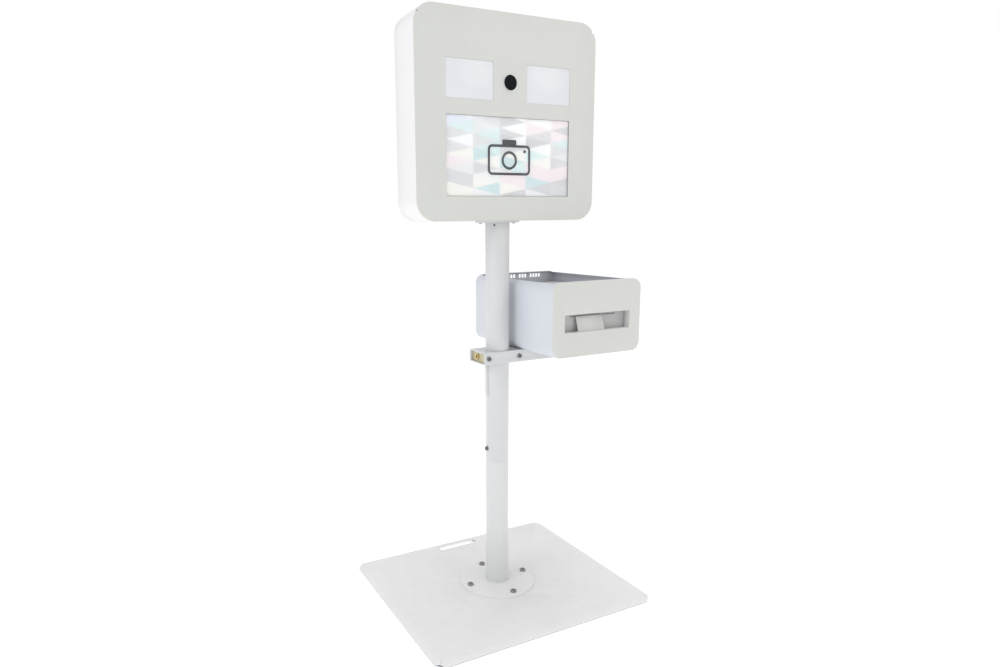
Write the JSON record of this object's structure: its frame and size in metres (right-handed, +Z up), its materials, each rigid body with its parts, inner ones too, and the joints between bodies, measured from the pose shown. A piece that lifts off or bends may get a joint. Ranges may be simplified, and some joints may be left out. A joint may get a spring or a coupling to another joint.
{
  "type": "photo booth",
  "caption": "Free-standing photo kiosk: touch-screen head with light windows on a round post, an open printer box on a clamp, and a flat weighted floor plate.",
  "frame": {"origin": "centre of the floor plate's outline, on the floor", "axes": "+X to the right as a guest faces the screen, +Y to the back, so the screen faces -Y, +Z up"},
  "size_m": [0.725, 0.618, 1.679],
  "materials": {
    "white_sheet": "satin powder coat",
    "panel_grey": "satin powder coat",
    "raw_steel": "mill finish",
    "zinc_steel": "zinc plated",
    "dark_steel": "black oxide",
    "chrome_lock": "polished",
    "grey_aluminium": "sawn",
    "yellow_zinc": "yellow passivated zinc",
    "brass_insert": "turned",
    "pad_rubber": "matt",
    "white_guide": "smooth",
    "printer_grey": "fine texture",
    "button_plastic": "smooth",
    "photo_paper": "smooth",
    "ribbon_film": "film",
    "opal_plastic": "opal",
    "board_green": "circuit board",
    "screen_glass": "clear",
    "lens_dark_glass": "coated",
    "black_plastic": "fine texture"
  },
  "bodies": {
    "stand": {"base_cover": "white_sheet", "base_ballast": "raw_steel", "base_pads": "pad_rubber", "post_flange": "white_sheet", "flange_bolts": "dark_steel", "lower_post": "white_sheet", "post_spigot": "raw_steel"},
    "upper": {"upper_post": "white_sheet", "post_lock_screws": "dark_steel", "stop_strip": "white_sheet", "head_mount_plate": "white_sheet", "head_mount_screws": "zinc_steel", "clamp_channel": "white_sheet", "clamp_jaws": "yellow_zinc", "clamp_rear_bar": "white_sheet", "clamp_bolts": "dark_steel", "clamp_insert": "brass_insert", "box_sleeve": "white_sheet", "box_front_plate": "panel_grey", "box_back_panel": "white_sheet", "box_corner_brackets": "zinc_steel", "exit_duct": "zinc_steel", "print_tongue": "white_guide", "head_front_panel": "panel_grey", "front_panel_nuts": "zinc_steel", "head_shell": "white_sheet", "chassis_plate": "zinc_steel", "touch_glass": "screen_glass", "display_panel": "black_plastic", "led_diffusers": "opal_plastic", "led_boards": "board_green", "lens_ring": "grey_aluminium", "lens_glass": "lens_dark_glass", "camera_yoke": "zinc_steel", "mini_pc": "black_plastic", "power_supply": "grey_aluminium", "power_inlet": "black_plastic", "hinge_frame_leaves": "zinc_steel", "hinge_pins": "zinc_steel"},
    "printer": {"printer_base": "zinc_steel", "printer_feet": "pad_rubber", "printer_cover": "printer_grey", "printer_front_cover": "printer_grey", "printer_side_plates": "raw_steel", "printer_status_window": "screen_glass"},
    "power_button": {"printer_power_button": "button_plastic"},
    "feed_roller": {"drive_roller": "pad_rubber"},
    "idle_roller": {"pinch_roller": "pad_rubber"},
    "paper": {"paper_roll": "photo_paper"},
    "ribbon_supply": {"ribbon_supply_spool": "ribbon_film"},
    "ribbon_takeup": {"ribbon_takeup_spool": "ribbon_film"},
    "camera": {"camera_body": "black_plastic", "camera_lens": "black_plastic"},
    "door": {"rear_door": "white_sheet", "fan_frame": "black_plastic", "hinge_door_leaves": "zinc_steel", "door_lock_housing": "chrome_lock"},
    "fan": {"fan_rotor": "black_plastic"},
    "lock": {"door_lock_cam": "chrome_lock"},
    "switch": {"power_switch_rocker": "black_plastic"}
  },
  "joints": [
    {"name": "upper_post_lift", "type": "slide", "parent": "stand", "child": "upper", "axis": [0, 0, 1], "range_m": [0, 0.2]},
    {"name": "printer_lift_out", "type": "slide", "parent": "upper", "child": "printer", "axis": [0, 0, 1], "range_m": [0, 0.19]},
    {"name": "printer_button_press", "type": "slide", "parent": "printer", "child": "power_button", "axis": [0, 1, 0], "range_m": [0, 0.0015], "stiffness_N_per_m": 500},
    {"name": "paper_roll_spin", "type": "hinge", "parent": "printer", "child": "paper", "pos_m": [0.2008, 0, 0.8237], "axis": [1, 0, 0], "continuous": true},
    {"name": "feed_roller_spin", "type": "hinge", "parent": "printer", "child": "feed_roller", "pos_m": [0.2008, -0.15, 0.85985], "axis": [1, 0, 0], "continuous": true},
    {"name": "idle_roller_spin", "type": "hinge", "parent": "printer", "child": "idle_roller", "pos_m": [0.2008, -0.15, 0.87415], "axis": [1, 0, 0], "continuous": true},
    {"name": "ribbon_supply_spin", "type": "hinge", "parent": "printer", "child": "ribbon_supply", "pos_m": [0.2008, -0.078, 0.9027], "axis": [1, 0, 0], "continuous": true},
    {"name": "ribbon_takeup_spin", "type": "hinge", "parent": "printer", "child": "ribbon_takeup", "pos_m": [0.2008, -0.118, 0.9027], "axis": [1, 0, 0], "continuous": true},
    {"name": "camera_tilt", "type": "hinge", "parent": "upper", "child": "camera", "pos_m": [0, -0.015, 1.5015], "axis": [1, 0, 0], "range_deg": [-8, 8]},
    {"name": "rear_door_hinge", "type": "hinge", "parent": "upper", "child": "door", "pos_m": [-0.257, 0.0607, 1.406], "axis": [0, 0, 1], "range_deg": [0, 110]},
    {"name": "fan_spin", "type": "hinge", "parent": "door", "child": "fan", "pos_m": [0, 0.0467, 1.543], "axis": [0, 1, 0], "continuous": true},
    {"name": "door_lock_turn", "type": "hinge", "parent": "door", "child": "lock", "pos_m": [0.226, 0.0567, 1.406], "axis": [0, -1, 0], "range_deg": [0, 90]},
    {"name": "power_switch_rock", "type": "hinge", "parent": "upper", "child": "switch", "pos_m": [0.0145, 0.0545, 1.171], "axis": [1, 0, 0], "range_deg": [0, 16]}
  ],
  "couplings": [
    {"joint": "feed_roller_spin", "follows": "paper_roll_spin", "ratio": 6.875},
    {"joint": "idle_roller_spin", "follows": "paper_roll_spin", "ratio": -9.1667},
    {"joint": "ribbon_supply_spin", "follows": "paper_roll_spin", "ratio": 3.9286},
    {"joint": "ribbon_takeup_spin", "follows": "paper_roll_spin", "ratio": 5.6122}
  ]
}
